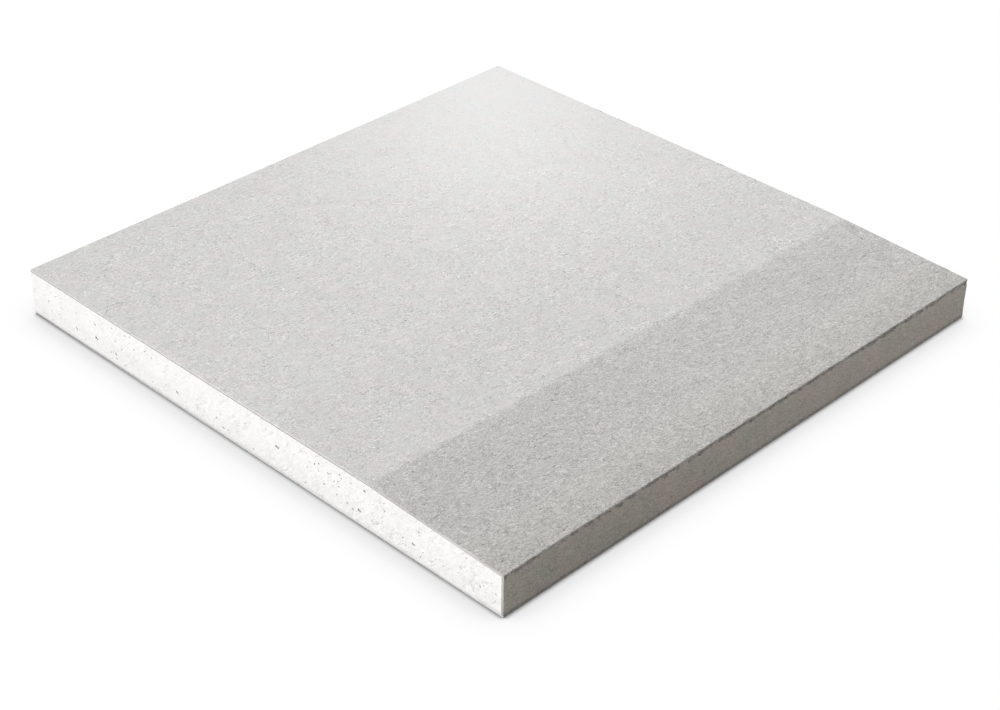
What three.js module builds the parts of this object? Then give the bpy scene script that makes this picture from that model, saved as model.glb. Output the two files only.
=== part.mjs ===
// A square piece cut from the long edge of a tapered-edge gypsum board, lying face side up.
//
// The board is a set-gypsum core bonded between two papers. The face paper covers the face,
// runs down a shallow taper, folds round the bound long edge and laps on to the back. The back
// paper is glued over that lap and stops short of the edge. The other three sides are cut
// straight through core and papers.
//
// +X points across the board to the bound long edge, +Y along the board's length and +Z out of
// its face. The origin is the centre of the footprint, on the back paper's outer face.
// Every section below is drawn in X and Z, then extruded along Y.

import * as THREE from "three";

// Driving dimensions, in millimetres
const PIECE_WIDTH = 160; // from the cut side to the bound long edge
const PIECE_LENGTH = 160; // from cut end to cut end
const BOARD_THICKNESS = 12.5; // over both papers, clear of the taper
const FACE_PAPER = 0.6;
const BACK_PAPER = 0.6;
const TAPER_WIDTH = 40; // from the taper's inner line to the long edge
const TAPER_DEPTH = 1.6; // how far the face has dropped at the long edge
const TAPER_BLEND = 4; // how far the soft inner line of the taper reaches to each side
const FOLD_RADIUS = 0.4; // outside the paper's two creased folds at the long edge
const LAP_WIDTH = 25; // face paper folded on to the back, measured from the long edge
const LAP_MARGIN = 6; // strip of the lap that stays bare and flush with the back
const LAP_RISE_RUN = 2; // the strip next to it, over which the lap rises under the back paper

// How finely the two kinds of curve are drawn
const BLEND_STEPS = 6;
const FOLD_STEPS = 6;

// Places along X, and the taper's slope
const CUT_SIDE_X = -PIECE_WIDTH / 2;
const LONG_EDGE_X = PIECE_WIDTH / 2;
const TAPER_START_X = LONG_EDGE_X - TAPER_WIDTH;
const LAP_END_X = LONG_EDGE_X - LAP_WIDTH;
const LAP_MARGIN_X = LONG_EDGE_X - LAP_MARGIN;
const BACK_PAPER_EDGE_X = LAP_MARGIN_X - LAP_RISE_RUN;
const TAPER_ANGLE = Math.atan2(TAPER_DEPTH, TAPER_WIDTH);

// Directions in the section, as angles from +X
const OUT = 0;
const UP = Math.PI / 2;
const DOWN = -Math.PI / 2;
const OFF_TAPER = UP - TAPER_ANGLE; // square to the taper's slope

function direction(angle) {
  return new THREE.Vector2(Math.cos(angle), Math.sin(angle));
}

// Points on an arc in the section, from one direction to another as seen from its centre
function arcPoints(centre, radius, fromAngle, toAngle, steps) {
  const points = [];
  for (let step = 0; step <= steps; step += 1) {
    const angle = THREE.MathUtils.lerp(fromAngle, toAngle, step / steps);
    points.push(direction(angle).multiplyScalar(radius).add(centre));
  }
  return points;
}

// A fold between two straight runs that face the two given angles: a rounded corner, or the
// sharp corner itself where the radius is 0
function foldPoints(corner, radius, fromAngle, toAngle) {
  if (radius === 0) {
    return [corner];
  }
  const between = direction(fromAngle).add(direction(toAngle));
  const inward = between.multiplyScalar(-radius / (1 + Math.cos(fromAngle - toAngle)));
  return arcPoints(inward.add(corner), radius, fromAngle, toAngle, FOLD_STEPS);
}

// The line that lies a given depth inside the face paper's outer surface, from the cut side
// over the face, down the taper, round the long edge and along the lap to its free end
function faceLine(depth, foldRadius) {
  const blendRadius = TAPER_BLEND / Math.tan(TAPER_ANGLE / 2);
  const blendCentre = new THREE.Vector2(TAPER_START_X - TAPER_BLEND, BOARD_THICKNESS - blendRadius);

  const edgeX = LONG_EDGE_X - depth;
  const taperTop = BOARD_THICKNESS - (edgeX - TAPER_START_X) * Math.tan(TAPER_ANGLE);
  const upperCorner = new THREE.Vector2(edgeX, taperTop - depth / Math.cos(TAPER_ANGLE));
  const lowerCorner = new THREE.Vector2(edgeX, depth);

  return [
    new THREE.Vector2(CUT_SIDE_X, BOARD_THICKNESS - depth),
    ...arcPoints(blendCentre, blendRadius - depth, UP, OFF_TAPER, BLEND_STEPS),
    ...foldPoints(upperCorner, foldRadius, OFF_TAPER, OUT),
    ...foldPoints(lowerCorner, foldRadius, OUT, DOWN),
    new THREE.Vector2(LAP_MARGIN_X, depth),
    new THREE.Vector2(BACK_PAPER_EDGE_X, BACK_PAPER + depth),
    new THREE.Vector2(LAP_END_X, BACK_PAPER + depth),
  ];
}

// The outer surface has soft folds, and the core that the paper is bonded to has sharp arrises
const OUTER_LINE = faceLine(0, FOLD_RADIUS);
const BOND_LINE = faceLine(FACE_PAPER, 0);

// The core fills everything inside the bond line, down to the back paper
function coreSection() {
  return [
    ...BOND_LINE,
    new THREE.Vector2(LAP_END_X, BACK_PAPER),
    new THREE.Vector2(CUT_SIDE_X, BACK_PAPER),
  ];
}

// The face paper lies between its outer surface and the bond line
function facePaperSection() {
  return [...OUTER_LINE, ...BOND_LINE.toReversed()];
}

// The back paper is flat, and its factory edge stops at the rise of the lap
function backPaperSection() {
  return [
    new THREE.Vector2(CUT_SIDE_X, 0),
    new THREE.Vector2(BACK_PAPER_EDGE_X, 0),
    new THREE.Vector2(BACK_PAPER_EDGE_X, BACK_PAPER),
    new THREE.Vector2(CUT_SIDE_X, BACK_PAPER),
  ];
}

// Extrudes a section along the whole length of the piece
function alongBoard(name, section, material) {
  const shape = new THREE.Shape(section);
  const geometry = new THREE.ExtrudeGeometry(shape, { depth: PIECE_LENGTH, bevelEnabled: false });
  const mesh = new THREE.Mesh(geometry, material);
  mesh.name = name;
  mesh.rotation.x = Math.PI / 2;
  mesh.position.y = PIECE_LENGTH / 2;
  return mesh;
}

const gypsum = new THREE.MeshStandardMaterial({ color: 0xf2f0ed, roughness: 0.95, metalness: 0 });
const facePaper = new THREE.MeshStandardMaterial({ color: 0xd2d0cc, roughness: 0.9, metalness: 0 });
const backPaper = new THREE.MeshStandardMaterial({ color: 0xb9b3a8, roughness: 0.92, metalness: 0 });

const board = new THREE.Group();
board.name = "drywall_sheet_piece";
board.add(alongBoard("gypsum_core", coreSection(), gypsum));
board.add(alongBoard("face_paper", facePaperSection(), facePaper));
board.add(alongBoard("back_paper", backPaperSection(), backPaper));

export default board;
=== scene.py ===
# A square piece of tapered-edge drywall, lying face up on a plain pale floor.
#
# The CAD frame gives every size: the sections of the core and of both papers are read from its
# cut ends. Three detailed pieces take their places, each at the same size. The gypsum core has
# pits in its cut faces, the face paper has a creased arris, and both papers have frayed cuts.
# Lengths are metres, unless a name ends in _MM. Inside the materials, patterns are laid out in
# millimetres along the unrolled paper or over the core.

import math

import bmesh
import bpy
import numpy as np
from mathutils import Matrix, Vector
from mathutils.geometry import delaunay_2d_cdt


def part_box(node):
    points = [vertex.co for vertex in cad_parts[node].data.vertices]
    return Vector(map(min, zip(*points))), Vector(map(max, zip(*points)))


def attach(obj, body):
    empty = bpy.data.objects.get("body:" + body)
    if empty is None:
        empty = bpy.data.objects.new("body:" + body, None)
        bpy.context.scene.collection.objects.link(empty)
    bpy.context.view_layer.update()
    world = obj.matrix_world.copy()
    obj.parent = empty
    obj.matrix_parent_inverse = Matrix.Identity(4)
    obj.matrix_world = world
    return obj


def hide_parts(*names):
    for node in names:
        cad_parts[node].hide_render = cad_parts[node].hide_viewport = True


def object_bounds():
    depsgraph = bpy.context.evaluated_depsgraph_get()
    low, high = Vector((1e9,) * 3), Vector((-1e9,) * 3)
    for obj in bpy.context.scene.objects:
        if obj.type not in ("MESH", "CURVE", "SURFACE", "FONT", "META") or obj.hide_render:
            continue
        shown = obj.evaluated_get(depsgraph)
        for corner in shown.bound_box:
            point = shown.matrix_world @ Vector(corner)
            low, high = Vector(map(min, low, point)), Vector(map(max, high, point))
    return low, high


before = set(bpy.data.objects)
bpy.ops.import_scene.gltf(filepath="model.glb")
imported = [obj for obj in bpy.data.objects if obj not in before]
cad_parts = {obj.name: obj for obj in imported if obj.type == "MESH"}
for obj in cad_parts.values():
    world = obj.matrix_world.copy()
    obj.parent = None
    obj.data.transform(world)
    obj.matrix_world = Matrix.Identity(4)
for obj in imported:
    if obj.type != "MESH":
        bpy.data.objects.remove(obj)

CAD_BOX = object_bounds()
MM = 0.001
CLOSE = 0.01 * MM  # places in the CAD mesh that are nearer than this lie on one line or plane
SAME = 0.001 * MM  # places that are nearer than this are one place

# ---------------------------------------------------------------------------------------------
# Camera, in the photograph's 1000 x 710 frame
# ---------------------------------------------------------------------------------------------
CAMERA_PLACE = Vector((308.4, -315.5, 280.4)) * MM
CAMERA_YAW = math.radians(-44.337)  # turned from +Y towards +X
CAMERA_PITCH = math.radians(33.501)  # looking down
CAMERA_ROLL = math.radians(0.595)
FOCAL_PIXELS = 2138.7
IMAGE_WIDTH = 1000
SENSOR_WIDTH = 36.0

# ---------------------------------------------------------------------------------------------
# Section of the board, read from the frame
# ---------------------------------------------------------------------------------------------


def cut_outline(node):
    """The outline of a CAD node's -Y cut end, as (x, z) points that start at its top left."""
    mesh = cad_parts[node].data
    cut_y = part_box(node)[0].y
    edges = set()
    for face in mesh.polygons:
        corners = [mesh.vertices[i].co for i in face.vertices]
        if any(abs(co.y - cut_y) > CLOSE for co in corners):
            continue
        keys = [(round(co.x, 7), round(co.z, 7)) for co in corners]
        for start, end in zip(keys, keys[1:] + keys[:1]):
            if (end, start) in edges:
                edges.remove((end, start))
            else:
                edges.add((start, end))
    following = dict(edges)
    top_left = min(following, key=lambda point: (point[0], -point[1]))
    outline = [top_left]
    while following[outline[-1]] != top_left:
        outline.append(following[outline[-1]])
    goes_up = outline[-1][0] > outline[0][0]
    return [outline[0]] + outline[:0:-1] if goes_up else outline


def split_face_paper():
    """The face paper's outer line and its bond line with the core, both from the cut side."""
    core = set(cut_outline("gypsum_core"))
    outline = cut_outline("face_paper")
    lap_end = next(i for i, point in enumerate(outline) if point in core)
    return np.array(outline[: lap_end + 1]), np.array(outline[lap_end + 1 :][::-1])


OUTER_LINE, BOND_LINE = split_face_paper()
CORE_OUTLINE = np.array(cut_outline("gypsum_core"))
LOW, HIGH = CAD_BOX
BACK_PAPER_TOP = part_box("back_paper")[1].z
BACK_PAPER_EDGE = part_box("back_paper")[1].x

# The lap is pressed flat all the way to the back paper's edge, where it steps up over it
LAP_GAP = 0.02 * MM
LAP_STEP = np.flatnonzero(np.isclose(OUTER_LINE[:, 1], LOW.z, atol=SAME))[-1]
OUTER_LINE[LAP_STEP, 0] = BACK_PAPER_EDGE + LAP_GAP


def lengths_along(line):
    """How far along a line each of its points lies."""
    steps = np.hypot(*np.diff(line, axis=0).T)
    return np.concatenate([[0.0], np.cumsum(steps)])


# Distances along the unrolled face paper, from the cut side
OUTER_LENGTHS = lengths_along(OUTER_LINE)
ON_EDGE = np.isclose(OUTER_LINE[:, 0], HIGH.x, atol=SAME)
EDGE_TOP_S, EDGE_BOTTOM_S = OUTER_LENGTHS[ON_EDGE][[0, -1]]
ON_FLAT = np.isclose(OUTER_LINE[:, 1], HIGH.z, atol=SAME)
BLEND_START_S = OUTER_LENGTHS[ON_FLAT][-1]
FOLD_START_S = OUTER_LENGTHS[np.argmax(OUTER_LENGTHS > EDGE_TOP_S - 2 * MM)]
ARRIS_S = (FOLD_START_S + EDGE_TOP_S) / 2

# ---------------------------------------------------------------------------------------------
# Small tools for the meshes
# ---------------------------------------------------------------------------------------------
KNOTS = 256  # smooth_noise repeats after this many knots
CUT_ANGLE = math.radians(60)  # edges that turn by more than this stay sharp in the shading


def smooth_noise(u, v, spacing, seed):
    """Smooth random values from -1 to 1, with a knot at every spacing in u and v."""
    knots = np.random.default_rng(seed).uniform(-1, 1, (KNOTS, KNOTS))
    u, v = np.broadcast_arrays(u / spacing, v / spacing)
    i, j = np.floor(u).astype(int), np.floor(v).astype(int)
    a, b = u - i, v - j
    a, b = a * a * (3 - 2 * a), b * b * (3 - 2 * b)
    low = knots[i % KNOTS, j % KNOTS] * (1 - a) + knots[(i + 1) % KNOTS, j % KNOTS] * a
    j = j + 1
    high = knots[i % KNOTS, j % KNOTS] * (1 - a) + knots[(i + 1) % KNOTS, j % KNOTS] * a
    return low * (1 - b) + high * b


def bump(x, middle, width):
    """A smooth hump of height 1."""
    return np.exp(-(((x - middle) / width) ** 2))


def new_piece(name, vertices, faces, materials, node):
    """A mesh that rides on the root body in place of a CAD node."""
    mesh = bpy.data.meshes.new(name)
    mesh.from_pydata(vertices, [], faces)
    for material in materials:
        mesh.materials.append(material)
    piece = bpy.data.objects.new(name, mesh)
    bpy.context.scene.collection.objects.link(piece)
    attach(piece, "root")
    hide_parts(node)
    return piece


def store(mesh, name, kind, values):
    """Gives every vertex of a mesh a number or a vector that the materials read."""
    made = mesh.attributes.new(name, kind, "POINT")
    field = "vector" if kind == "FLOAT_VECTOR" else "value"
    made.data.foreach_set(field, np.asarray(values, np.float32).ravel())


def weld(mesh):
    """Joins vertices that lie at the same place, and drops those that no face uses."""
    work = bmesh.new()
    work.from_mesh(mesh)
    bmesh.ops.remove_doubles(work, verts=work.verts, dist=SAME)
    unused = [vertex for vertex in work.verts if not vertex.link_faces]
    bmesh.ops.delete(work, geom=unused, context="VERTS")
    work.to_mesh(mesh)
    work.free()


def spread(start, end, spacing):
    """Evenly spaced places from start up to, but not including, end."""
    count = max(1, round((end - start) / spacing))
    return np.linspace(start, end, count, endpoint=False)


def along(line, places):
    """Points and outward normals at places along a line of (x, z) points."""
    lengths = lengths_along(line)
    points = np.stack([np.interp(places, lengths, line[:, k]) for k in (0, 1)], 1)
    tangents = np.gradient(points, places, axis=0)
    tangents /= np.linalg.norm(tangents, axis=1)[:, None]
    return points, np.stack([-tangents[:, 1], tangents[:, 0]], 1)


def bridge(first, second, first_places, second_places):
    """Triangles between two rows of vertices that run side by side."""
    faces, i, j = [], 0, 0
    while i < len(first) - 1 or j < len(second) - 1:
        step_first = j == len(second) - 1 or (
            i < len(first) - 1 and first_places[i + 1] <= second_places[j + 1]
        )
        if step_first:
            faces.append((first[i], first[i + 1], second[j]))
            i += 1
        else:
            faces.append((first[i], second[j + 1], second[j]))
            j += 1
    return faces


# ---------------------------------------------------------------------------------------------
# Papers
# ---------------------------------------------------------------------------------------------
FRAY = 0.03 * MM  # how far the cut edges stray from a plain cut
FRAY_SPACING = 0.7 * MM
FRAY_ROWS = 0.35  # knots of the fray for each row of the section


def paper_sheet(name, outer, outer_normals, places, bond, columns, lift, look):
    """A closed skin between a detailed outer line and a plain bond line, run along Y.

    lift is how far each outer vertex stands off the line, for rows of the section by columns.
    Vertices keep their place on the unrolled paper as sheet, and their depth in it as ply.
    """
    rows = len(outer)
    raised = outer[:, None, :] + outer_normals[:, None, :] * lift[:, :, None]
    deep = np.repeat(bond[::-1, None, :], len(columns), 1)
    section = np.concatenate([raised, deep])
    y = np.broadcast_to(columns, section.shape[:2]).copy()
    knots = np.arange(len(section)) * FRAY_ROWS
    for end in (0, -1):
        y[:, end] += FRAY * smooth_noise(knots, end, 1.0, look["seed"])
    section[0, :, 0] += FRAY * smooth_noise(columns, 0.0, FRAY_SPACING, look["seed"] + 1)
    vertices = np.stack([section[:, :, 0], y, section[:, :, 1]], 2).reshape(-1, 3)

    apart = np.linalg.norm(bond[:, None, :] - outer[None, :, :], axis=2)
    bond_places = np.maximum.accumulate(places[apart.argmin(axis=1)])
    s = np.concatenate([places, bond_places[::-1]])
    sheet = np.stack(np.broadcast_arrays(s[:, None], columns, 0.0), 2).reshape(-1, 3)
    ply = np.repeat(np.arange(len(section)) >= rows, len(columns))

    at = np.arange(len(section) * len(columns)).reshape(len(section), len(columns))
    following = np.roll(at, -1, axis=0)
    quads = np.stack([at[:, :-1], following[:, :-1], following[:, 1:], at[:, 1:]], 2)
    faces = quads.reshape(-1, 4).tolist()
    shown = np.zeros(len(section), int)
    shown[[rows - 1, -1]] = 1  # the strips at the lap's end and at the cut side are cut edges
    slots = np.repeat(shown, len(columns) - 1).tolist()

    for end in (0, -1):
        near = at[:rows, end]
        far = at[rows:, end][::-1]
        strip = bridge(near.tolist(), far.tolist(), places, bond_places)
        faces += strip if end else [face[::-1] for face in strip]
        slots += [1] * len(strip)

    piece = new_piece(
        name, vertices.tolist(), faces, look["materials"], look["node"]
    )
    mesh = piece.data
    slots = np.array(slots)
    mesh.polygons.foreach_set("material_index", slots)
    mesh.polygons.foreach_set("use_smooth", slots == 0)
    mesh.set_sharp_from_angle(angle=CUT_ANGLE)
    store(mesh, "sheet", "FLOAT_VECTOR", sheet)
    store(mesh, "ply", "FLOAT", ply)
    # The groove's depth, which the face material paints as shade
    groove_shade = np.concatenate([look["groove"], np.zeros((len(bond), len(columns)))])
    store(mesh, "groove", "FLOAT", groove_shade)
    return piece


PAPER_COLUMN = 0.5 * MM
PAPER_ROW = 1.0 * MM
EDGE_ROW = 0.7 * MM
CREASE_ROW = 0.12 * MM
CREASE_REACH = 1.8 * MM
BOTTOM_FOLD = (-0.3 * MM, 1.2 * MM)  # from the bottom of the bound edge on to the back
FACE_WAVES = ((0.012 * MM, 9 * MM, 11), (0.004 * MM, 3 * MM, 12))  # height, spacing, seed
UNEVEN_DEPTH = 0.05 * MM
UNEVEN_WIDTH = 3.5 * MM
LAP_HIDDEN = 0.6 * MM  # from here the face paper lies against the floor or in the board
BACK_WAVE = 0.01 * MM


def crease(s, y):
    """The arris: how far it stands off the line, and how deep its torn groove is, from 0 to 1."""
    # The groove's line wanders by a small jag, measured down from the arris
    jag = 0.16 * MM * smooth_noise(0.0, y, 1.7 * MM, 13)
    jag = jag + 0.09 * MM * smooth_noise(0.0, y, 0.9 * MM, 14)
    down = s - ARRIS_S - jag

    # It is deeper in some places than in others, and torn open lower down here and there
    broad = smooth_noise(0.0, y, 6 * MM, 15)
    close = smooth_noise(0.0, y, 1.3 * MM, 16)
    strength = np.clip(0.65 + 0.5 * broad + 0.75 * close, 0.05, 1.5)
    torn = np.clip(0.25 + 0.6 * smooth_noise(0.0, y, 3.5 * MM, 18) + 0.5 * close, 0, 1)
    knocked = bump(y, HIGH.y, 1.5 * MM)
    groove = strength * bump(down, 0.50 * MM, 0.30 * MM)
    groove = groove + 0.8 * (torn + knocked) * bump(down, 1.0 * MM, 0.32 * MM)

    # The paper stands up in a low lip on the arris itself
    lip = 0.07 * MM * bump(s - ARRIS_S - 0.4 * jag, -0.02 * MM, 0.16 * MM)
    held = 1 - bump(y, LOW.y, 1.2 * MM)  # the cut holds the fold sharp at the near corner
    return (lip - 0.13 * MM * groove) * held, np.clip(groove, 0, 1)


def face_paper(materials):
    """The face paper, with its soft waves, its creased arris and its lap on the back."""
    fold_start, fold_end = (EDGE_BOTTOM_S + reach for reach in BOTTOM_FOLD)
    step_start, step_end, lap_end = OUTER_LENGTHS[-3:]
    rows = np.concatenate([
        spread(0.0, ARRIS_S - CREASE_REACH, PAPER_ROW),
        spread(ARRIS_S - CREASE_REACH, ARRIS_S + CREASE_REACH, CREASE_ROW),
        spread(ARRIS_S + CREASE_REACH, fold_start, EDGE_ROW),
        spread(fold_start, fold_end, CREASE_ROW),
        spread(fold_end, step_start, PAPER_ROW),
        spread(step_end, lap_end, PAPER_ROW),
        [step_start, lap_end],
    ])
    rows.sort()
    columns = np.append(spread(LOW.y, HIGH.y, PAPER_COLUMN), HIGH.y)
    points, normals = along(OUTER_LINE, rows)
    s, y = rows[:, None], columns[None, :]

    lift = sum(
        height * (smooth_noise(s, y, spacing, seed) - 1) for height, spacing, seed in FACE_WAVES
    )
    crease_lift, groove = crease(s, y)

    # The bound edge is slightly uneven, and the lap lies quiet against the floor and the core
    on_edge = bump(s, (EDGE_TOP_S + EDGE_BOTTOM_S) / 2, UNEVEN_WIDTH)
    uneven = -UNEVEN_DEPTH * on_edge * (1 + smooth_noise(s, y, 7 * MM, 17))
    hidden = s > EDGE_BOTTOM_S + LAP_HIDDEN
    lift = np.where(hidden, 0.0, lift + crease_lift + uneven)

    look = {
        "seed": 21, "materials": materials, "groove": groove,
        "slot": "face_paper", "node": "face_paper",
    }
    return paper_sheet("face_paper_sheet", points, normals, rows, BOND_LINE, columns, lift, look)


def back_paper(materials):
    """The back paper: flat where the board rests, with a plain factory edge beside the lap."""
    outer = np.array([(BACK_PAPER_EDGE, LOW.z), (LOW.x, LOW.z)])
    bond = np.array([(BACK_PAPER_EDGE, BACK_PAPER_TOP), (LOW.x, BACK_PAPER_TOP)])
    length = BACK_PAPER_EDGE - LOW.x
    rows = np.append(spread(0.0, length, PAPER_ROW), length)
    columns = np.append(spread(LOW.y, HIGH.y, PAPER_COLUMN), HIGH.y)
    points, normals = along(outer, rows)
    lift = BACK_WAVE * (smooth_noise(rows[:, None], columns[None, :], 6 * MM, 31) - 1)
    look = {
        "seed": 32, "materials": materials, "groove": 0 * lift,
        "slot": "back_paper", "node": "back_paper",
    }
    return paper_sheet("back_paper_sheet", points, normals, rows, bond, columns, lift, look)


# ---------------------------------------------------------------------------------------------
# Gypsum core
# ---------------------------------------------------------------------------------------------
CORE_GRID = 0.42 * MM
CORE_RELIEF = 0.010 * MM
PITS_PER_METRE = 1300
PIT_RADII = (0.06 * MM, 0.26 * MM)
PIT_DEPTHS = (0.5, 1.0)  # as a share of the radius
MAIN_PIT_DEPTH = 1.3
PIT_GAP = 1.7  # least distance between two middles, in the sum of the two radii
PIT_CLUSTERS = 9 * MM
DARK_RADIUS = 0.4 * MM
PIT_SLANT = 0.85  # phase of the main pits' two-lobed wave, in radians: all slant one way
PIT_STRETCH = 0.42
STROKE_SLANT = math.radians(45)
PIT_RINGS = ((1.0, 0.0), (0.9, 0.5), (0.68, 0.85), (0.35, 0.98), (0.0, 1.0))  # radius, depth
ROUND_PIT_RADIUS = 0.18 * MM  # pits of this radius or more are drawn with more vertices


class Pits:
    """Air pits in one cut face: where they are, and how deep the face is at any place."""

    def __init__(self, seed, width, low, high, chosen=()):
        rng = np.random.default_rng(seed)
        made = [(u, v, radius, MAIN_PIT_DEPTH) for u, v, radius in chosen]
        wanted = len(chosen) + PITS_PER_METRE * width
        while len(made) < wanted:
            radius = PIT_RADII[0] + (PIT_RADII[1] - PIT_RADII[0]) * rng.uniform() ** 3
            u = rng.uniform(radius * 2, width - radius * 2)
            v = rng.uniform(low + radius * 2, high - radius * 2)
            crowding = smooth_noise(u, v, PIT_CLUSTERS, seed)
            apart = all(
                math.hypot(u - other[0], v - other[1]) > PIT_GAP * (radius + other[2])
                for other in made
            )
            if apart and rng.uniform(-0.6, 0.7) < crowding:
                made.append((u, v, radius, rng.uniform(*PIT_DEPTHS)))
        self.pits = [
            {
                "middle": (u, v), "radius": radius, "depth": radius * depth,
                "dark": min(1.0, 0.3 + radius / DARK_RADIUS) * min(1.0, depth),
                "lobes": rng.uniform(0, 2 * math.pi, 3), "lobe": rng.uniform(0.05, 0.35, 3),
            }
            for u, v, radius, depth in made
        ]
        for pit in self.pits[: len(chosen)]:  # the main pits are drawn out, all the same way
            pit["lobes"][0] = PIT_SLANT
            pit["lobe"][0] = PIT_STRETCH
            pit["lobe"][1:] *= 0.4

    @staticmethod
    def reach(pit, angle):
        """The pit's rim in one direction from its middle."""
        wave = sum(
            pit["lobe"][k] * np.cos((k + 2) * angle + pit["lobes"][k]) / (k + 1) for k in range(3)
        )
        return pit["radius"] * (1 + wave)

    def points(self):
        """Places of the rings of vertices that draw each pit."""
        found = []
        for pit in self.pits:
            around = 9 if pit["radius"] < ROUND_PIT_RADIUS else 16
            for share, _ in PIT_RINGS:
                for k in range(around if share else 1):
                    angle = 2 * math.pi * (k + 0.5 * (share < 0.8)) / around
                    r = self.reach(pit, angle) * share
                    u, v = pit["middle"]
                    found.append((u + r * math.cos(angle), v + r * math.sin(angle)))
        return np.array(found)

    def depth(self, u, v):
        """How far the face lies below its plane, and how dark its dust and painted shade make a
        cavity, from 0 to 1.
        """
        deep = np.zeros(len(u))
        cavity = np.zeros(len(u))
        rings = np.array(PIT_RINGS[::-1])
        for pit in self.pits:
            du, dv = u - pit["middle"][0], v - pit["middle"][1]
            near = np.hypot(du, dv) < pit["radius"] * 1.8
            angle = np.arctan2(dv[near], du[near])
            share = np.hypot(du[near], dv[near]) / self.reach(pit, angle)
            fall = np.interp(share, rings[:, 0], rings[:, 1])
            deep[near] = np.maximum(deep[near], fall * pit["depth"])
            cavity[near] = np.maximum(cavity[near], fall * pit["dark"])
        return deep, cavity


def cut_face(outline, pits, seed):
    """A cut face of the core: its (u, v) places, depths, cavities, triangles and rim."""
    low_u, low_v = outline.min(0)
    high_u, high_v = outline.max(0)
    rng = np.random.default_rng(seed)
    grid_u, grid_v = np.meshgrid(
        np.arange(low_u + CORE_GRID / 2, high_u, CORE_GRID),
        np.arange(low_v + CORE_GRID / 2, high_v, CORE_GRID),
    )
    grid = np.stack([grid_u.ravel(), grid_v.ravel()], 1)
    grid += rng.uniform(-0.3, 0.3, grid.shape) * CORE_GRID
    inner = np.concatenate([grid, pits.points() + [low_u, 0]])

    upper = outline[np.argsort(outline[:, 0], kind="stable")]
    middle = (low_v + high_v) / 2
    roof, ground = upper[upper[:, 1] > middle], upper[upper[:, 1] <= middle]
    margin = CORE_GRID * 0.35
    inside = (
        (inner[:, 0] > low_u + margin) & (inner[:, 0] < high_u - margin)
        & (inner[:, 1] < np.interp(inner[:, 0], roof[:, 0], roof[:, 1]) - margin)
        & (inner[:, 1] > np.interp(inner[:, 0], ground[:, 0], ground[:, 1]) + margin)
    )
    inner = inner[inside]
    places = np.concatenate([outline, inner]) / MM
    rim = list(range(len(outline)))
    found = delaunay_2d_cdt([Vector(p) for p in places], [], [rim[::-1]], 1, 1e-4)
    coords = np.array([tuple(co) for co in found[0]]) * MM
    index = {}
    for new, olds in enumerate(found[3]):
        for old in olds:
            index[old] = new
    deep, cavity = pits.depth(coords[:, 0] - low_u, coords[:, 1])
    relief = smooth_noise(coords[:, 0], coords[:, 1], 1.3 * MM, seed)
    relief += 0.6 * smooth_noise(coords[:, 0], coords[:, 1], 0.6 * MM, seed + 1)
    deep = deep + CORE_RELIEF * (relief + 1.6)
    return coords, deep, cavity, found[2], [index[i] for i in rim]


def dense(line, spacing):
    """A line with points added, so that no two are further apart than spacing."""
    made = []
    for start, end in zip(line, np.roll(line, -1, axis=0)):
        count = max(1, math.ceil(np.hypot(*(end - start)) / spacing - 0.001))
        made += [start + (end - start) * k / count for k in range(count)]
    return np.array(made)


# The photographed cut end's main pits: across from the cut side, height and radius, in mm
CHOSEN_PITS_MM = (
    (7.4, 4.0, 0.20), (7.8, 9.3, 0.18), (11.9, 9.4, 0.17), (17.3, 3.5, 0.34), (20.6, 1.9, 0.22),
    (25.2, 8.2, 0.28), (25.3, 4.4, 0.46), (32.7, 3.4, 0.36), (32.8, 2.2, 0.25), (36.0, 1.8, 0.26),
    (40.2, 8.1, 0.27), (46.3, 2.2, 0.20), (55.7, 3.8, 0.37), (69.8, 3.8, 0.26), (72.1, 2.2, 0.30),
    (80.0, 7.4, 0.22), (82.5, 1.8, 0.24), (90.8, 6.5, 0.48), (98.9, 9.7, 0.24), (107.7, 8.3, 0.28),
    (108.5, 8.7, 0.20), (113.5, 3.6, 0.25), (115.2, 2.9, 0.27), (117.3, 3.7, 0.42),
    (119.2, 9.8, 0.34), (133.9, 4.0, 0.38), (135.5, 8.1, 0.25), (153.4, 4.2, 0.24),
    (154.4, 5.0, 0.20), (157.8, 4.8, 0.24),
)


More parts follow.
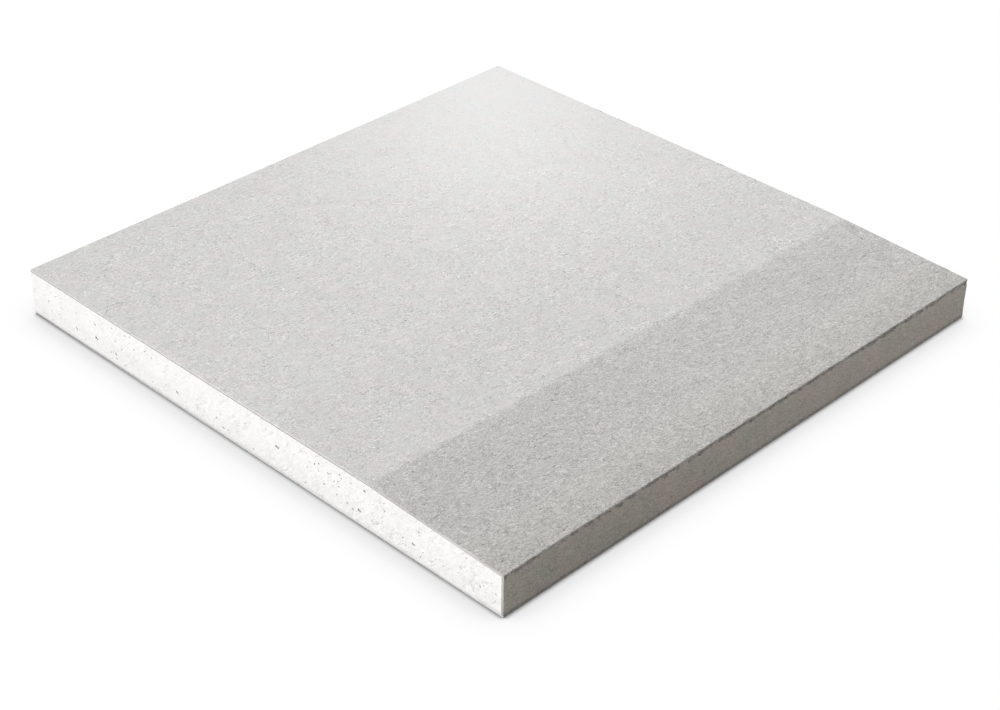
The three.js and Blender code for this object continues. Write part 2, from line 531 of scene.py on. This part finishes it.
def gypsum_core(material):
    """The core, closed, with pits and a little relief in its three cut faces."""
    outline = dense(CORE_OUTLINE, CORE_GRID)
    bottom, top = CORE_OUTLINE[:, 1].min(), CORE_OUTLINE[:, 1].max()
    core_width = CORE_OUTLINE[:, 0].max() - LOW.x
    chosen = [(u * MM, v * MM, r * MM) for u, v, r in CHOSEN_PITS_MM]
    near = cut_face(outline, Pits(41, core_width, bottom, top, chosen), 51)
    far = cut_face(outline, Pits(42, core_width, bottom, top), 52)
    side_corners = [(LOW.y, top), (HIGH.y, top), (HIGH.y, bottom), (LOW.y, bottom)]
    side_outline = dense(np.array(side_corners), CORE_GRID)
    side = cut_face(side_outline, Pits(43, HIGH.y - LOW.y, bottom, top), 53)

    vertices, cavities, faces = [], [], []

    def add_cut_face(cut, to_space, turned):
        """Adds a cut face's vertices and triangles, and returns its rim's vertices."""
        coords, deep, cavity, triangles, rim = cut
        first = len(vertices)
        deep = deep.copy()
        deep[rim] = 0.0
        vertices.extend(to_space(coords, deep).tolist())
        cavities.extend(cavity.tolist())
        for triangle in triangles:
            ordered = triangle[::-1] if turned else triangle
            faces.append([first + i for i in ordered])
        return [first + i for i in rim]

    near_rim = add_cut_face(
        near, lambda c, d: np.stack([c[:, 0], LOW.y + d, c[:, 1]], 1), turned=False
    )
    far_rim = add_cut_face(
        far, lambda c, d: np.stack([c[:, 0], HIGH.y - d, c[:, 1]], 1), turned=True
    )
    side_rim = add_cut_face(
        side, lambda c, d: np.stack([LOW.x + d, c[:, 0], c[:, 1]], 1), turned=True
    )

    # Under the papers, plain strips join the two cut ends. The two strips that meet the cut side
    # also hold the vertices of its rim.
    side_z = np.array([vertices[i][2] for i in side_rim])
    side_y = np.array([vertices[i][1] for i in side_rim])
    count = len(near_rim)
    for i in range(count):
        j = (i + 1) % count
        starts, ends = (abs(outline[k][0] - LOW.x) < CLOSE for k in (i, j))
        if starts and ends:
            continue
        strip = [near_rim[i], near_rim[j], far_rim[j], far_rim[i]]
        if starts or ends:
            level = outline[i if starts else j][1]
            row = [k for k in np.flatnonzero(abs(side_z - level) < CLOSE)]
            row = [k for k in row if LOW.y + CLOSE < side_y[k] < HIGH.y - CLOSE]
            row.sort(key=lambda k: side_y[k], reverse=bool(starts))
            between = [side_rim[k] for k in row]
            strip = strip + between if starts else strip[:2] + between + strip[2:]
        faces.append(strip)

    piece = new_piece(
        "gypsum_core_pitted", vertices, faces, [material], "gypsum_core"
    )
    mesh = piece.data
    mesh.shade_smooth()
    store(mesh, "cavity", "FLOAT", cavities)
    weld(mesh)
    mesh.set_sharp_from_angle(angle=CUT_ANGLE)
    return piece


# ---------------------------------------------------------------------------------------------
# Materials. Spacings and widths are millimetres, and each pattern has a seed of its own.
# ---------------------------------------------------------------------------------------------
NOISE_ROUGHNESS = 0.55
SPECULAR_LEVEL = 0.25
PAPER_ROUGHNESS = 0.92
CUT_ROUGHNESS = 0.95


def colour(red, green, blue):
    """A colour for a socket, from the 0 to 255 values that it shows as."""
    shares = [value / 255 for value in (red, green, blue)]
    linear = [c / 12.92 if c <= 0.04045 else ((c + 0.055) / 1.055) ** 2.4 for c in shares]
    return (*linear, 1.0)


def in_three(spacing):
    """A pattern's spacing along x, y and z, from one number for all three or from the three."""
    return spacing if isinstance(spacing, tuple) else (spacing, spacing, spacing)


class Number:
    """A node's output that takes part in arithmetic, so that a material reads as a formula."""

    def __init__(self, graph, socket):
        self.graph = graph
        self.socket = socket

    def __add__(self, other):
        return self.graph.math("ADD", self, other)

    def __sub__(self, other):
        return self.graph.math("SUBTRACT", self, other)

    def __rsub__(self, other):
        return self.graph.math("SUBTRACT", other, self)

    def __mul__(self, other):
        return self.graph.math("MULTIPLY", self, other)

    def __abs__(self):
        return self.graph.math("ABSOLUTE", self)

    __radd__ = __add__
    __rmul__ = __mul__


class Graph:
    """The nodes of one material or of the world."""

    def __init__(self, tree):
        self.tree = tree
        self.tree.nodes.clear()

    def node(self, kind, inputs, **settings):
        """Adds a node, sets it up, fills or links its inputs, and gives its outputs."""
        made = self.tree.nodes.new("ShaderNode" + kind)
        for name, value in settings.items():
            setattr(made, name, value)
        for key, value in inputs.items():
            value = getattr(value, "socket", value)
            if isinstance(value, bpy.types.NodeSocket):
                self.tree.links.new(value, made.inputs[key])
            else:
                made.inputs[key].default_value = value
        return made.outputs

    def math(self, operation, *values):
        """One step of arithmetic."""
        made = self.node("Math", dict(enumerate(values)), operation=operation)
        return Number(self, made[0])

    def ramp(self, value, start, end, low=0.0, high=1.0):
        """A smooth rise from low to high while value goes from start to end."""
        inputs = {
            "Value": value, "From Min": start, "From Max": end, "To Min": low, "To Max": high,
        }
        made = self.node("MapRange", inputs, interpolation_type="SMOOTHSTEP")
        return Number(self, made["Result"])

    def attribute(self, name):
        """A mesh attribute's outputs."""
        return self.node("Attribute", {}, attribute_name=name, attribute_type="GEOMETRY")

    def in_mm(self, metres):
        """A place in millimetres."""
        made = self.node("VectorMath", {0: metres, "Scale": 1000.0}, operation="SCALE")
        return made[0]

    def parts(self, vector):
        """The three numbers of a vector."""
        made = self.node("SeparateXYZ", {0: vector})
        return [Number(self, socket) for socket in made]

    def moved(self, places, spacing, seed):
        """Places counted in steps of spacing, and shifted to their own part of the pattern."""
        steps = tuple(1 / size for size in in_three(spacing))
        shift = (seed * 17.31, seed * 9.73, seed * 5.57)
        inputs = {0: places, 1: steps, 2: shift}
        return self.node("VectorMath", inputs, operation="MULTIPLY_ADD")[0]

    def noise(self, places, spacing, seed, detail=0.0, swirl=0.0):
        """Smooth random values about 0, with features of about that spacing."""
        inputs = {
            "Vector": self.moved(places, spacing, seed), "Scale": 1.0,
            "Detail": detail, "Roughness": NOISE_ROUGHNESS, "Distortion": swirl,
        }
        made = self.node("TexNoise", inputs, noise_dimensions="3D")
        return Number(self, made[0]) - 0.5

    def wandering(self, places, spacing, reach, seed):
        """Places moved about smoothly in the sheet, so that lines drawn on them wander."""
        inputs = {"Vector": self.moved(places, spacing, seed), "Scale": 1.0, "Detail": 0.0}
        turned = self.node("TexNoise", inputs, noise_dimensions="3D")[1]
        shift = (-0.5 * reach, -0.5 * reach, 0.0)
        inputs = {0: turned, 1: (reach, reach, 0.0), 2: shift}
        moves = self.node("VectorMath", inputs, operation="MULTIPLY_ADD")[0]
        return self.node("VectorMath", {0: places, 1: moves}, operation="ADD")[0]

    def threads(self, places, spacing, width, seed, kept=0.5):
        """Broken threads, 1 in their middle: where a smooth field passes through 0."""
        line = self.ramp(abs(self.noise(places, spacing, seed)), width, 0.0)
        longer = tuple(size * 1.3 for size in in_three(spacing))
        breaks = self.noise(places, longer, seed + 0.37)
        return line * self.ramp(breaks, 0.05 - 0.1 * kept, 0.2 - 0.3 * kept)

    def specks(self, places, spacing, size, share, seed):
        """Small round spots in a share of the cells of a random pattern."""
        inputs = {"Vector": self.moved(places, spacing, seed), "Scale": 1.0, "Randomness": 1.0}
        made = self.node("TexVoronoi", inputs, voronoi_dimensions="3D")
        chance, grown, _ = self.parts(made["Color"])
        reach = (0.4 + 0.6 * grown) * (size / spacing)
        spot = self.ramp(Number(self, made["Distance"]) - reach, 0.0, -0.5 * size / spacing)
        return spot * self.ramp(chance, share, share - 0.01)

    def blend(self, share, first, second):
        """A colour between two others."""
        made = self.node("Mix", {0: share, 6: first, 7: second}, data_type="RGBA")
        return made[2]

    def toned(self, base, tone):
        """A colour made lighter or darker."""
        made = self.node("VectorMath", {0: base, "Scale": tone}, operation="SCALE")
        return made[0]


def surface(name, paint):
    """A matt material. paint gives its colour, its roughness and its height in millimetres."""
    material = bpy.data.materials.new(name)
    material.use_nodes = True
    graph = Graph(material.node_tree)
    base, roughness, height = paint(graph)
    bumped = graph.node("Bump", {"Height": height, "Strength": 1.0, "Distance": MM})
    inputs = {
        "Base Color": base, "Roughness": roughness, "Normal": bumped[0],
        "Specular IOR Level": SPECULAR_LEVEL,
    }
    shader = graph.node("BsdfPrincipled", inputs)
    graph.node("OutputMaterial", {"Surface": shader[0]})
    return material


FIBRE_TURN = math.radians(14)  # the fibres' own direction, turned from the board's length


def paper_grain(graph, places, unrest):
    """The paper's clouds, fibres and flecks: its tone about 0, and its height about 0.

    unrest is how much the grain's strength changes from patch to patch.
    """
    lines = graph.wandering(places, 3.0, 1.5, 30.0)
    turn = {"Vector": lines, "Angle": FIBRE_TURN}
    lines = graph.node("VectorRotate", turn, rotation_type="Z_AXIS")[0]

    # Fibres run mostly along the board: spacing across and along it, half width, seed
    pale = graph.threads(lines, (0.34, 1.9, 1.0), 0.055, 4.0, kept=0.7)
    pale = pale + graph.threads(lines, (0.28, 1.3, 1.0), 0.055, 5.0, kept=0.7)
    dark = graph.threads(lines, (0.34, 1.9, 1.0), 0.055, 6.0, kept=0.7)
    dark = dark + graph.threads(lines, (0.28, 1.3, 1.0), 0.055, 7.0, kept=0.7)
    long_pale = graph.threads(lines, (0.6, 2.2, 1.0), 0.05, 7.3, kept=0.6)
    long_dark = graph.threads(lines, (0.6, 2.2, 1.0), 0.05, 7.7, kept=0.6)
    fibres = pale * 0.18 - dark * 0.205 + (long_pale - long_dark) * 0.06

    # Between them lies a fine grain, and wider mottle and clouds
    grain = graph.noise(lines, 0.22, 3.0) * 0.58 + graph.noise(lines, (0.2, 0.7, 1.0), 3.5) * 0.30
    patches = graph.ramp(graph.noise(places, 4.0, 3.7, detail=1.0), -0.2, 0.2, -1.0, 1.0)
    busy = 1.0 + patches * unrest
    mottle = graph.noise(lines, (1.4, 2.2, 1.0), 2.0) * 0.085
    clouds = graph.noise(places, 4.5, 1.0, detail=2.0) * 0.14
    flecks = graph.specks(places, 3.0, 0.24, 0.35, 8.0)
    tone = (fibres + grain) * busy + mottle + clouds - flecks * 0.26
    return tone, grain * 0.022


TAPER_START_MM = float(BLEND_START_S / MM) + 4.0  # the middle of the arc that starts the taper
ARRIS_MM = float(ARRIS_S / MM)
EDGE_BOTTOM_MM = float(EDGE_BOTTOM_S / MM)
FAR_END_MM = float(HIGH.y / MM)
TAPER_LINE_DRIFT = 0.012  # how fast the taper's dark line moves outwards along the board
GLARE_REACH_MM = 105.0  # how far from its corner the painted glare reaches
GLARE_STRENGTHS = (0.09, 1.03)  # the grain's strength at that corner and beyond that reach

# The main dark flecks of the photographed face: along the unrolled paper, along the edge, radius
CHOSEN_FLECKS_MM = (
    (31.2, -3.6, 0.30), (30.5, -66.5, 0.32), (78.6, -10.5, 0.32), (79.9, -31.3, 0.30),
    (136.5, -7.9, 0.34), (131.3, -36.8, 0.28), (148.4, -37.9, 0.36), (140.3, 61.2, 0.30),
    (153.7, 65.6, 0.34), (134.9, -75.2, 0.30),
)


def face_shading(graph, s, y, line, taper):
    """Painted shade on the face: darker towards the arris and from a little before the taper on.
    """
    painted_shading = graph.ramp(s, ARRIS_MM - 13, ARRIS_MM) * 0.09
    painted_shading = painted_shading + graph.ramp(s, TAPER_START_MM - 43, TAPER_START_MM - 15) * 0.034
    # On the taper it is painted lighter just past its line
    painted_shading = painted_shading - graph.ramp(line, TAPER_START_MM + 15, TAPER_START_MM) * taper * 0.04
    # A faint painted highlight on the flat just before the taper line
    painted_shading = painted_shading - graph.ramp(line, TAPER_START_MM - 4, TAPER_START_MM) * (1.0 - taper) * 0.012
    # Painted light: the taper lighter towards the far end, under the glow lamp
    return painted_shading - graph.ramp(y, -75.0, 30.0) * taper * 0.038


def arris_crease_shade(graph, places, s, y, torn):
    """Painted shade in the groove under the arris: broken up, with an evener streak on the far
    half.

    Away from the groove it leaves only faint specks.
    """
    groove = Number(graph, graph.attribute("groove")["Fac"])
    ragged = graph.noise(places, 0.6, 10.0, detail=1.0)
    broken = graph.ramp(groove * 1.1 + ragged * 1.3, 0.05, 0.75) * (0.6 + ragged * 1.1)
    far_half = graph.ramp(y, -20.0, 10.0) * graph.ramp(y, 76.0, 26.0)
    below = s - ARRIS_MM + torn * 0.35
    streak = graph.ramp(below, 0.1, 0.35) * graph.ramp(below, 1.3, 0.8) * far_half
    return broken * (0.55 - 0.15 * far_half) + streak * 0.17


def dark_flecks(graph, places):
    """The main dark flecks of the face."""
    dark = 0.0
    for fleck_s, fleck_y, radius in CHOSEN_FLECKS_MM:
        middle = (fleck_s, fleck_y, 0.0)
        apart = graph.node("VectorMath", {0: places, 1: middle}, operation="DISTANCE")["Value"]
        dark = dark + graph.ramp(Number(graph, apart), radius, radius * 0.4) * 0.45
    return dark


def far_corner_glare(graph, s, y):
    """The grain's strength, faded by painted glare near the corner of the cut side and the far
    end.
    """
    from_side = graph.math("MULTIPLY", s, s)
    from_end = graph.math("POWER", FAR_END_MM - y, 2.0)
    away = graph.math("SQRT", from_side + from_end)
    return graph.ramp(away, 0.0, GLARE_REACH_MM, *GLARE_STRENGTHS)


def paint_face_paper(graph):
    """Pale grey paper with painted shade on the taper, the arris and the warm grey bound edge."""
    places = graph.in_mm(graph.attribute("sheet")["Vector"])
    s, y, _ = graph.parts(places)
    line = s + graph.noise(places, 5.0, 9.0) * 1.5 - y * TAPER_LINE_DRIFT
    taper = graph.ramp(line, TAPER_START_MM + 0.5, TAPER_START_MM + 2.4)
    torn = graph.noise(places, 0.9, 9.5, detail=1.0) * 0.7
    edge = graph.ramp(s + torn, ARRIS_MM + 0.05, ARRIS_MM + 0.25)
    under = graph.ramp(s, EDGE_BOTTOM_MM - 0.9, EDGE_BOTTOM_MM - 0.2)
    lap = graph.ramp(s, EDGE_BOTTOM_MM + 0.2, EDGE_BOTTOM_MM + 3)

    # Recycled fibres tint the paper a little, pink in some places and green in others
    tint = graph.ramp(graph.noise(places, 4.5, 19.0, detail=2.0), -0.15, 0.15)
    edge_tint = graph.ramp(graph.noise(places, 5.0, 19.5), -0.25, 0.25)
    flat = graph.blend(tint, colour(211.8, 208.8, 206.9), colour(209.3, 209.8, 207.9))
    handled = graph.ramp(s, ARRIS_MM - 18, ARRIS_MM - 4)
    # On the taper the paper is painted darker, as the shade of its slope away from the key
    thin = graph.blend(handled, colour(194.0, 191.9, 190.0), colour(194.0, 191.9, 187.8))
    # The bound edge is painted darker than the face, partly as its shade and partly as dirt
    bound = graph.blend(edge_tint, colour(201.0, 190.6, 182.9), colour(194.8, 190.1, 179.9))
    base = graph.blend(taper, flat, thin)
    base = graph.blend(edge, base, bound)
    base = graph.blend(lap, base, colour(196, 192, 186))

    # Painted shade darkens it in the crease under the arris and on the bottom fold; its flecks are
    # its own
    painted_shading = face_shading(graph, s, y, line, taper)
    darkening = arris_crease_shade(graph, places, s, y, torn) + (under - lap) * 0.25
    darkening = darkening + dark_flecks(graph, places)

    tone, height = paper_grain(graph, places, 0.40 - 0.28 * taper)
    # Painted glare fades the grain near the far corner
    strength = far_corner_glare(graph, s, y) * (0.90 + 0.39 * taper - 0.39 * edge)
    whole = 1.0 + tone * strength - painted_shading - darkening
    return graph.toned(base, whole), PAPER_ROUGHNESS, height * strength


def paint_back_paper(graph):
    """Grey-brown recycled paper with longer, more mixed threads."""
    places = graph.in_mm(graph.attribute("sheet")["Vector"])
    tone, height = paper_grain(graph, places, 0.33)
    long_threads = graph.threads(places, 2.2, 0.03, 11.0, kept=0.8)
    dark_threads = graph.threads(places, 1.9, 0.03, 12.0, kept=0.6)
    warm = graph.ramp(graph.noise(places, 4.0, 13.0, detail=2.0), -0.2, 0.2)
    base = graph.blend(warm, colour(171, 160, 145), colour(182, 173, 160))
    whole = 1.0 + tone * 1.3 + long_threads * 0.12 - dark_threads * 0.14
    return graph.toned(base, whole), PAPER_ROUGHNESS, height + long_threads * 0.006


def cut_fuzz(graph):
    """The ragged share of the inner ply, and the tone and height of a cut edge's fibres.

    A cut edge is painted darker where it meets the floor, as shade.
    """
    ply = Number(graph, graph.attribute("ply")["Fac"])
    position = graph.in_mm(graph.node("NewGeometry", {})["Position"])
    inner = graph.ramp(ply + graph.noise(position, 0.5, 14.0, detail=1.0) * 0.6, 0.45, 0.8)
    fuzz = graph.noise(position, 0.35, 15.0, detail=1.0, swirl=0.5)
    broad = graph.noise(position, 5.0, 16.0, detail=1.0)
    _, _, z = graph.parts(position)
    # Painted shade at the foot of the cut edge
    darkening = graph.ramp(z, 0.3, 0.0) * 0.4
    return inner, 1.0 + fuzz * 0.4 + broad * 0.15 - darkening, fuzz * 0.04


def paint_face_cut(graph):
    """The face paper's cut edge: a pale outer ply over a grey inner one, whose grey is also
    painted shade at the bond. Gypsum hides the lap.
    """
    s, _, _ = graph.parts(graph.in_mm(graph.attribute("sheet")["Vector"]))
    inner, tone, height = cut_fuzz(graph)
    taper = graph.ramp(s, TAPER_START_MM - 1.5, TAPER_START_MM + 6)
    lap = graph.ramp(s, EDGE_BOTTOM_MM - 0.5, EDGE_BOTTOM_MM + 0.5)
    buried = graph.ramp(s, EDGE_BOTTOM_MM + 7, EDGE_BOTTOM_MM + 9)
    flat = graph.blend(inner, colour(219, 217, 215), colour(166, 163, 160))
    thin = graph.blend(inner, colour(205, 202, 199), colour(163, 160, 157))
    base = graph.blend(taper, flat, thin)
    base = graph.blend(lap, base, colour(214, 212, 210))
    base = graph.blend(buried, base, colour(240, 238, 236))
    return graph.toned(base, tone), CUT_ROUGHNESS, height


def paint_back_cut(graph):
    """The back paper's cut edge: grey outside, and whitened by gypsum at the bond."""
    inner, tone, height = cut_fuzz(graph)
    base = graph.blend(inner, colour(216, 214, 212), colour(212, 210, 208))
    return graph.toned(base, tone), CUT_ROUGHNESS, height


def paint_gypsum(graph):
    """White gypsum, torn by the cut in patches of short slanting strokes, and grey in its pits
    with dust and painted shade.
    """
    position = graph.in_mm(graph.node("NewGeometry", {})["Position"])
    x, _, z = graph.parts(position)
    cavity = Number(graph, graph.attribute("cavity")["Fac"])
    turn = {"Vector": position, "Angle": STROKE_SLANT}
    strokes = graph.node("VectorRotate", turn, rotation_type="Y_AXIS")[0]
    torn = graph.ramp(graph.noise(strokes, (5.0, 3.0, 1.8), 25.0, detail=1.0), -0.05, 0.2) * 0.8
    torn = torn + graph.ramp(x, -40.0, 40.0) * 0.3
    grains = graph.noise(position, 0.42, 21.0, detail=1.0)
    grains = (grains + graph.math("MINIMUM", grains + 0.05, 0.0)) * (0.12 + torn * 0.30)
    crumbs = graph.noise(strokes, (1.6, 1.1, 0.8), 21.5, detail=1.0) * (0.08 + torn * 0.26)
    clouds = graph.noise(position, 5.0, 22.0, detail=1.0) * 0.10
    tears = graph.threads(strokes, (2.4, 1.2, 0.6), 0.05, 23.0) * (0.05 + torn * 0.19)
    flecks = graph.specks(position, 0.9, 0.17, 0.4, 24.0) * (0.08 + torn * 0.24)
    # Painted shade: darker towards the bottom, and greyer still just above the back paper
    lower = graph.ramp(z + clouds * 30, 8.2, 1.8) * 0.07 + graph.ramp(z, 1.5, 0.8) * 0.10
    tone = grains + crumbs + clouds - tears - flecks - lower
    # Pits are painted grey: their dust, and the shade inside them
    hollow = graph.ramp(cavity, 0.05, 0.8)
    base = graph.blend(hollow, colour(249.2, 247.4, 245.4), colour(96, 93, 90))
    return graph.toned(base, 1.0 + tone), CUT_ROUGHNESS, (grains - tears) * 0.08


# ---------------------------------------------------------------------------------------------
# Studio
# ---------------------------------------------------------------------------------------------
AMBIENT = 0.5
KEY_FROM = Vector((-0.45, -0.60, 0.50))
KEY_STRENGTH = 0.9 * math.pi
KEY_SPREAD = math.radians(25)
GLOW_PLACE = Vector((-90, 86, 68)) * MM
GLOW_LENGTH = 184 * MM
GLOW_WIDTH = 10 * MM
GLOW_TURN = math.radians(-45)  # the strip lies along the board's diagonal
GLOW_WATTS = 0.0200
GLOW_COLOUR = (0.96, 0.98, 1.05)
FILL_PLACE = Vector((300, 200, 50)) * MM
FILL_SIZE = 80 * MM
FILL_WATTS = 0.07
FLOOR_REACH = 1.5
FLOOR_DROP = 0.02 * MM
FLOOR_GREY = 0.33  # as the light that bounces off it sees it
SHADE_REACH = 11 * MM
SHADE_DEPTH = 0.30
CONTACT_REACH = 1.3 * MM
CONTACT_DEPTH = 0.8


def seen_share(graph):
    """1 for rays that show the surroundings as a white background, 0 for rays that light."""
    path = graph.node("LightPath", {})
    seen = Number(graph, path["Is Camera Ray"])
    for kind in ("Is Glossy Ray", "Is Transmission Ray"):
        seen = graph.math("MAXIMUM", seen, path[kind])
    return seen


def make_world():
    """Even light from all around, in front of a white background."""
    world = bpy.data.worlds.new("studio")
    bpy.context.scene.world = world
    world.use_nodes = True
    graph = Graph(world.node_tree)
    strength = AMBIENT + (1 - AMBIENT) * seen_share(graph)
    light = graph.node("Background", {"Color": (1, 1, 1, 1), "Strength": strength})
    graph.node("OutputWorld", {"Surface": light[0]})


def closeness(graph, reach):
    """How much of the sky above the floor is blocked within reach, as a share of half of it."""
    around = graph.node("AmbientOcclusion", {"Distance": reach}, samples=6)
    return graph.math("MINIMUM", (1.0 - Number(graph, around["AO"])) * 2.0, 1.0)


def floor_material():
    """White to the camera but for the soft shade round the board, and pale grey to light."""
    material = bpy.data.materials.new("floor")
    material.use_nodes = True
    graph = Graph(material.node_tree)
    shade = graph.math("POWER", closeness(graph, SHADE_REACH), 2.5) * SHADE_DEPTH
    contact = graph.math("POWER", closeness(graph, CONTACT_REACH), 1.8) * CONTACT_DEPTH
    white = (1.0 - shade) * (1.0 - contact)
    shown = graph.node("Emission", {"Color": (1, 1, 1, 1), "Strength": white})
    lit = graph.node("BsdfDiffuse", {"Color": (FLOOR_GREY, FLOOR_GREY, FLOOR_GREY, 1)})
    mixed = graph.node("MixShader", {0: seen_share(graph), 1: lit[0], 2: shown[0]})
    graph.node("OutputMaterial", {"Surface": mixed[0]})
    return material


def make_floor():
    """A large plain floor just under the board."""
    corners = [(x * FLOOR_REACH, y * FLOOR_REACH, -FLOOR_DROP) for x, y in
               ((-1, -1), (1, -1), (1, 1), (-1, 1))]
    mesh = bpy.data.meshes.new("floor")
    mesh.from_pydata(corners, [], [(0, 1, 2, 3)])
    mesh.materials.append(floor_material())
    floor = bpy.data.objects.new("floor", mesh)
    bpy.context.scene.collection.objects.link(floor)


def make_lamp(name, kind, place, towards, turn=0.0, **settings):
    """A lamp that the camera doesn't see, turned about its own axis."""
    data = bpy.data.lights.new(name, kind)
    for setting, value in settings.items():
        setattr(data, setting, value)
    lamp = bpy.data.objects.new(name, data)
    lamp.location = place
    lamp.rotation_euler = (towards - place).to_track_quat("-Z", "Y").to_euler()
    lamp.rotation_euler.rotate_axis("Z", turn)
    lamp.visible_camera = False
    bpy.context.scene.collection.objects.link(lamp)


def make_lamps():
    """A broad key from the left front, a soft strip over the far corner and a weak fill."""
    middle = (LOW + HIGH) / 2
    make_lamp(
        "key", "SUN", middle + KEY_FROM, middle, energy=KEY_STRENGTH, angle=KEY_SPREAD
    )
    make_lamp(
        "glow", "AREA", GLOW_PLACE, GLOW_PLACE - Vector((0, 0, 1)), turn=GLOW_TURN,
        energy=GLOW_WATTS, color=GLOW_COLOUR, shape="RECTANGLE",
        size=GLOW_LENGTH, size_y=GLOW_WIDTH,
    )
    make_lamp(
        "fill", "AREA", FILL_PLACE, Vector((HIGH.x, HIGH.y, 0)),
        energy=FILL_WATTS, shape="DISK", size=FILL_SIZE,
    )


def make_camera():
    """The photograph's camera, fitted to the board's corners."""
    forward = Vector((
        math.cos(CAMERA_PITCH) * math.sin(CAMERA_YAW),
        math.cos(CAMERA_PITCH) * math.cos(CAMERA_YAW),
        -math.sin(CAMERA_PITCH),
    ))
    level_right = Vector((math.cos(CAMERA_YAW), -math.sin(CAMERA_YAW), 0))
    level_up = level_right.cross(forward)
    right = level_right * math.cos(CAMERA_ROLL) + level_up * math.sin(CAMERA_ROLL)
    up = level_up * math.cos(CAMERA_ROLL) - level_right * math.sin(CAMERA_ROLL)
    data = bpy.data.cameras.new("camera")
    data.sensor_width = SENSOR_WIDTH
    data.lens = FOCAL_PIXELS / IMAGE_WIDTH * SENSOR_WIDTH
    data.clip_start = 10 * MM
    data.clip_end = 10.0
    camera = bpy.data.objects.new("camera", data)
    turn = Matrix((right, up, -forward)).transposed()
    camera.matrix_world = Matrix.Translation(CAMERA_PLACE) @ turn.to_4x4()
    bpy.context.scene.collection.objects.link(camera)
    bpy.context.scene.camera = camera


# ---------------------------------------------------------------------------------------------
# The scene
# ---------------------------------------------------------------------------------------------
bpy.context.scene.view_settings.view_transform = "Standard"
make_camera()
make_world()
make_lamps()
make_floor()

face_paper([surface("face_paper", paint_face_paper), surface("face_paper_cut", paint_face_cut)])
back_paper([surface("back_paper", paint_back_paper), surface("back_paper_cut", paint_back_cut)])
gypsum_core(surface("gypsum", paint_gypsum))

bpy.context.view_layer.update()
